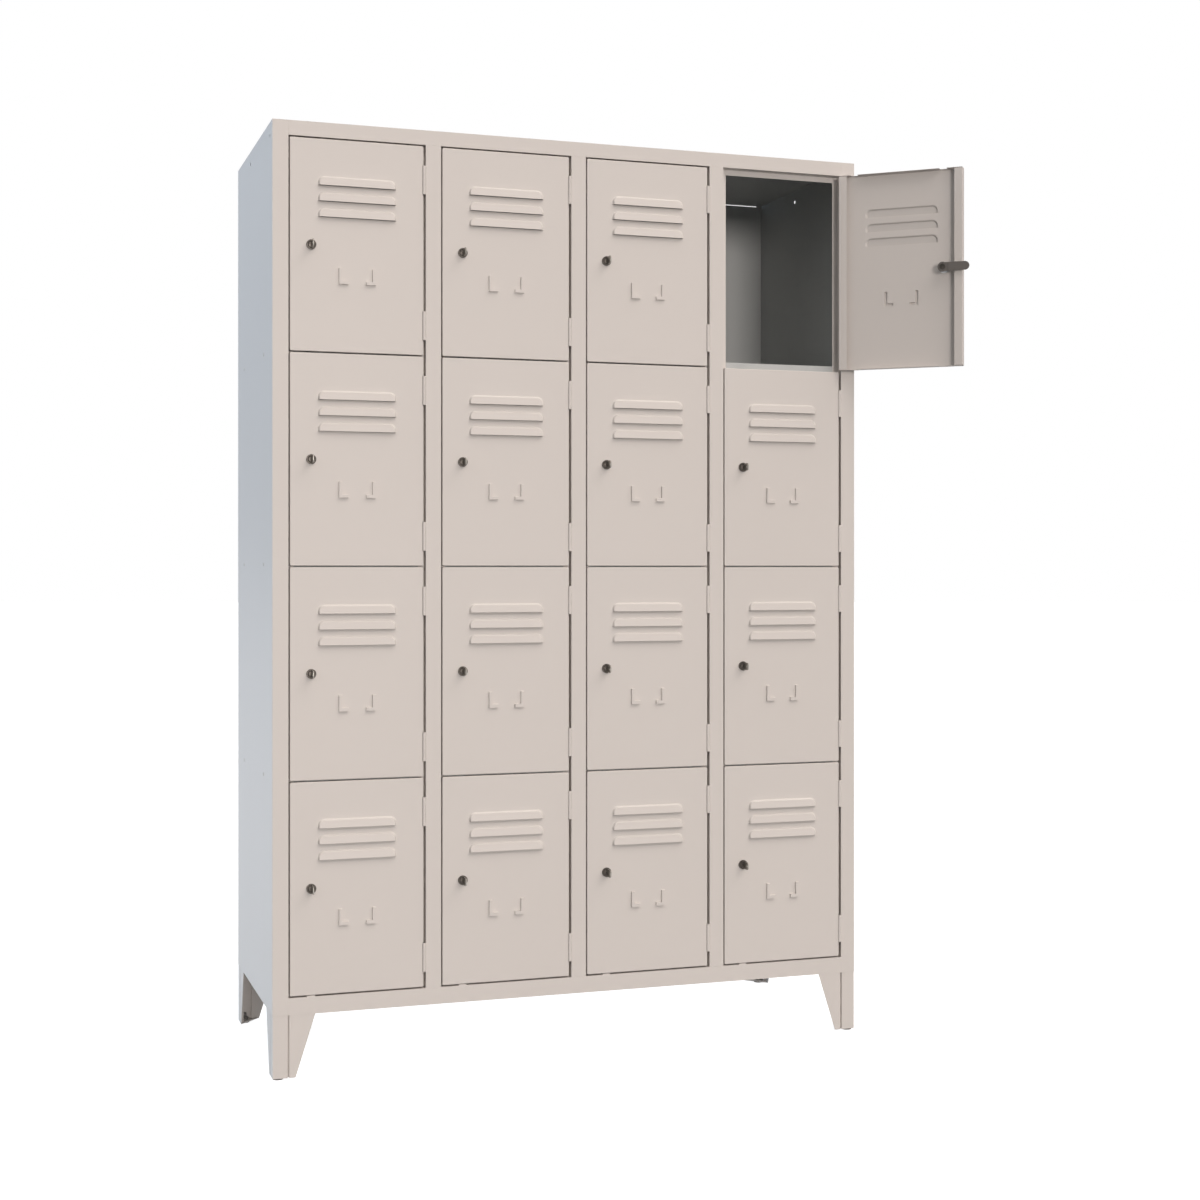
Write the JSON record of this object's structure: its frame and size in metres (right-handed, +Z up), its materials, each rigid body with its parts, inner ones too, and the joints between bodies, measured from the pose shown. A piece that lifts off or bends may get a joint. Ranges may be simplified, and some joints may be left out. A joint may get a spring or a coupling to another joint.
{
  "type": "locker cabinet",
  "caption": "Free-standing sheet-steel locker cabinet: a grid of hinged doors with louvres, card brackets and turning cam locks, on splayed corner legs.",
  "frame": {"origin": "on the floor under the middle of the cabinet, the centre of the pattern of floor anchor holes in the legs", "axes": "+X to the right seen from the front, +Y from the front to the back, +Z up"},
  "size_m": [1.3648, 0.6681, 1.794],
  "materials": {
    "front_enamel": "satin powder coat, warm light grey",
    "side_enamel": "satin powder coat, cool light grey",
    "inner_enamel": "satin powder coat, grey",
    "leg_enamel": "satin powder coat, grey",
    "lock_steel": "dark, smooth",
    "cam_steel": "dark, satin",
    "zinc_steel": "bright",
    "glide_plastic": "moulded"
  },
  "bodies": {
    "cabinet": {"left_side": "side_enamel", "right_side": "side_enamel", "partitions": "front_enamel", "back_panel": "inner_enamel", "roof": "front_enamel", "floor_pan": "front_enamel", "shelves": "inner_enamel", "legs": "leg_enamel", "glides": "glide_plastic", "hinge_leaves": "front_enamel", "hinge_pins": "zinc_steel", "rivets": "side_enamel"},
    "door_r1c1": {"door_r1c1": "front_enamel", "lock_barrel_r1c1": "lock_steel"},
    "lock_r1c1": {"lock_cam_r1c1": "cam_steel"},
    "door_r1c2": {"door_r1c2": "front_enamel", "lock_barrel_r1c2": "lock_steel"},
    "lock_r1c2": {"lock_cam_r1c2": "cam_steel"},
    "door_r1c3": {"door_r1c3": "front_enamel", "lock_barrel_r1c3": "lock_steel"},
    "lock_r1c3": {"lock_cam_r1c3": "cam_steel"},
    "door_r1c4": {"door_r1c4": "front_enamel", "lock_barrel_r1c4": "lock_steel"},
    "lock_r1c4": {"lock_cam_r1c4": "cam_steel"},
    "door_r2c1": {"door_r2c1": "front_enamel", "lock_barrel_r2c1": "lock_steel"},
    "lock_r2c1": {"lock_cam_r2c1": "cam_steel"},
    "door_r2c2": {"door_r2c2": "front_enamel", "lock_barrel_r2c2": "lock_steel"},
    "lock_r2c2": {"lock_cam_r2c2": "cam_steel"},
    "door_r2c3": {"door_r2c3": "front_enamel", "lock_barrel_r2c3": "lock_steel"},
    "lock_r2c3": {"lock_cam_r2c3": "cam_steel"},
    "door_r2c4": {"door_r2c4": "front_enamel", "lock_barrel_r2c4": "lock_steel"},
    "lock_r2c4": {"lock_cam_r2c4": "cam_steel"},
    "door_r3c1": {"door_r3c1": "front_enamel", "lock_barrel_r3c1": "lock_steel"},
    "lock_r3c1": {"lock_cam_r3c1": "cam_steel"},
    "door_r3c2": {"door_r3c2": "front_enamel", "lock_barrel_r3c2": "lock_steel"},
    "lock_r3c2": {"lock_cam_r3c2": "cam_steel"},
    "door_r3c3": {"door_r3c3": "front_enamel", "lock_barrel_r3c3": "lock_steel"},
    "lock_r3c3": {"lock_cam_r3c3": "cam_steel"},
    "door_r3c4": {"door_r3c4": "front_enamel", "lock_barrel_r3c4": "lock_steel"},
    "lock_r3c4": {"lock_cam_r3c4": "cam_steel"},
    "door_r4c1": {"door_r4c1": "front_enamel", "lock_barrel_r4c1": "lock_steel"},
    "lock_r4c1": {"lock_cam_r4c1": "cam_steel"},
    "door_r4c2": {"door_r4c2": "front_enamel", "lock_barrel_r4c2": "lock_steel"},
    "lock_r4c2": {"lock_cam_r4c2": "cam_steel"},
    "door_r4c3": {"door_r4c3": "front_enamel", "lock_barrel_r4c3": "lock_steel"},
    "lock_r4c3": {"lock_cam_r4c3": "cam_steel"},
    "door_r4c4": {"door_r4c4": "front_enamel", "lock_barrel_r4c4": "lock_steel"},
    "lock_r4c4": {"lock_cam_r4c4": "cam_steel"}
  },
  "joints": [
    {"name": "door_r1c1_hinge", "type": "hinge", "parent": "cabinet", "child": "door_r1c1", "pos_m": [-0.3108, -0.239, 1.5632], "axis": [0, 0, 1], "range_deg": [0, 140]},
    {"name": "lock_r1c1_turn", "type": "hinge", "parent": "door_r1c1", "child": "lock_r1c1", "pos_m": [-0.5275, -0.24, 1.5632], "axis": [0, 1, 0], "range_deg": [0, 90]},
    {"name": "door_r1c2_hinge", "type": "hinge", "parent": "cabinet", "child": "door_r1c2", "pos_m": [-0.0183, -0.239, 1.5632], "axis": [0, 0, 1], "range_deg": [0, 140]},
    {"name": "lock_r1c2_turn", "type": "hinge", "parent": "door_r1c2", "child": "lock_r1c2", "pos_m": [-0.235, -0.24, 1.5632], "axis": [0, 1, 0], "range_deg": [0, 90]},
    {"name": "door_r1c3_hinge", "type": "hinge", "parent": "cabinet", "child": "door_r1c3", "pos_m": [0.2742, -0.239, 1.5632], "axis": [0, 0, 1], "range_deg": [0, 140]},
    {"name": "lock_r1c3_turn", "type": "hinge", "parent": "door_r1c3", "child": "lock_r1c3", "pos_m": [0.0575, -0.24, 1.5632], "axis": [0, 1, 0], "range_deg": [0, 90]},
    {"name": "door_r1c4_hinge", "type": "hinge", "parent": "cabinet", "child": "door_r1c4", "pos_m": [0.5667, -0.239, 1.5632], "axis": [0, 0, 1], "range_deg": [-135, 0]},
    {"name": "lock_r1c4_turn", "type": "hinge", "parent": "door_r1c4", "child": "lock_r1c4", "pos_m": [0.73335, -0.37753, 1.5632], "axis": [-0.6428, -0.766, 0], "range_deg": [-90, 0]},
    {"name": "door_r2c1_hinge", "type": "hinge", "parent": "cabinet", "child": "door_r2c1", "pos_m": [-0.3108, -0.239, 1.1604], "axis": [0, 0, 1], "range_deg": [0, 140]},
    {"name": "lock_r2c1_turn", "type": "hinge", "parent": "door_r2c1", "child": "lock_r2c1", "pos_m": [-0.5275, -0.24, 1.1604], "axis": [0, 1, 0], "range_deg": [0, 90]},
    {"name": "door_r2c2_hinge", "type": "hinge", "parent": "cabinet", "child": "door_r2c2", "pos_m": [-0.0183, -0.239, 1.1604], "axis": [0, 0, 1], "range_deg": [0, 140]},
    {"name": "lock_r2c2_turn", "type": "hinge", "parent": "door_r2c2", "child": "lock_r2c2", "pos_m": [-0.235, -0.24, 1.1604], "axis": [0, 1, 0], "range_deg": [0, 90]},
    {"name": "door_r2c3_hinge", "type": "hinge", "parent": "cabinet", "child": "door_r2c3", "pos_m": [0.2742, -0.239, 1.1604], "axis": [0, 0, 1], "range_deg": [0, 140]},
    {"name": "lock_r2c3_turn", "type": "hinge", "parent": "door_r2c3", "child": "lock_r2c3", "pos_m": [0.0575, -0.24, 1.1604], "axis": [0, 1, 0], "range_deg": [0, 90]},
    {"name": "door_r2c4_hinge", "type": "hinge", "parent": "cabinet", "child": "door_r2c4", "pos_m": [0.5667, -0.239, 1.1604], "axis": [0, 0, 1], "range_deg": [0, 140]},
    {"name": "lock_r2c4_turn", "type": "hinge", "parent": "door_r2c4", "child": "lock_r2c4", "pos_m": [0.35, -0.24, 1.1604], "axis": [0, 1, 0], "range_deg": [0, 90]},
    {"name": "door_r3c1_hinge", "type": "hinge", "parent": "cabinet", "child": "door_r3c1", "pos_m": [-0.3108, -0.239, 0.7576], "axis": [0, 0, 1], "range_deg": [0, 140]},
    {"name": "lock_r3c1_turn", "type": "hinge", "parent": "door_r3c1", "child": "lock_r3c1", "pos_m": [-0.5275, -0.24, 0.7576], "axis": [0, 1, 0], "range_deg": [0, 90]},
    {"name": "door_r3c2_hinge", "type": "hinge", "parent": "cabinet", "child": "door_r3c2", "pos_m": [-0.0183, -0.239, 0.7576], "axis": [0, 0, 1], "range_deg": [0, 140]},
    {"name": "lock_r3c2_turn", "type": "hinge", "parent": "door_r3c2", "child": "lock_r3c2", "pos_m": [-0.235, -0.24, 0.7576], "axis": [0, 1, 0], "range_deg": [0, 90]},
    {"name": "door_r3c3_hinge", "type": "hinge", "parent": "cabinet", "child": "door_r3c3", "pos_m": [0.2742, -0.239, 0.7576], "axis": [0, 0, 1], "range_deg": [0, 140]},
    {"name": "lock_r3c3_turn", "type": "hinge", "parent": "door_r3c3", "child": "lock_r3c3", "pos_m": [0.0575, -0.24, 0.7576], "axis": [0, 1, 0], "range_deg": [0, 90]},
    {"name": "door_r3c4_hinge", "type": "hinge", "parent": "cabinet", "child": "door_r3c4", "pos_m": [0.5667, -0.239, 0.7576], "axis": [0, 0, 1], "range_deg": [0, 140]},
    {"name": "lock_r3c4_turn", "type": "hinge", "parent": "door_r3c4", "child": "lock_r3c4", "pos_m": [0.35, -0.24, 0.7576], "axis": [0, 1, 0], "range_deg": [0, 90]},
    {"name": "door_r4c1_hinge", "type": "hinge", "parent": "cabinet", "child": "door_r4c1", "pos_m": [-0.3108, -0.239, 0.3548], "axis": [0, 0, 1], "range_deg": [0, 140]},
    {"name": "lock_r4c1_turn", "type": "hinge", "parent": "door_r4c1", "child": "lock_r4c1", "pos_m": [-0.5275, -0.24, 0.3548], "axis": [0, 1, 0], "range_deg": [0, 90]},
    {"name": "door_r4c2_hinge", "type": "hinge", "parent": "cabinet", "child": "door_r4c2", "pos_m": [-0.0183, -0.239, 0.3548], "axis": [0, 0, 1], "range_deg": [0, 140]},
    {"name": "lock_r4c2_turn", "type": "hinge", "parent": "door_r4c2", "child": "lock_r4c2", "pos_m": [-0.235, -0.24, 0.3548], "axis": [0, 1, 0], "range_deg": [0, 90]},
    {"name": "door_r4c3_hinge", "type": "hinge", "parent": "cabinet", "child": "door_r4c3", "pos_m": [0.2742, -0.239, 0.3548], "axis": [0, 0, 1], "range_deg": [0, 140]},
    {"name": "lock_r4c3_turn", "type": "hinge", "parent": "door_r4c3", "child": "lock_r4c3", "pos_m": [0.0575, -0.24, 0.3548], "axis": [0, 1, 0], "range_deg": [0, 90]},
    {"name": "door_r4c4_hinge", "type": "hinge", "parent": "cabinet", "child": "door_r4c4", "pos_m": [0.5667, -0.239, 0.3548], "axis": [0, 0, 1], "range_deg": [0, 140]},
    {"name": "lock_r4c4_turn", "type": "hinge", "parent": "door_r4c4", "child": "lock_r4c4", "pos_m": [0.35, -0.24, 0.3548], "axis": [0, 1, 0], "range_deg": [0, 90]}
  ]
}
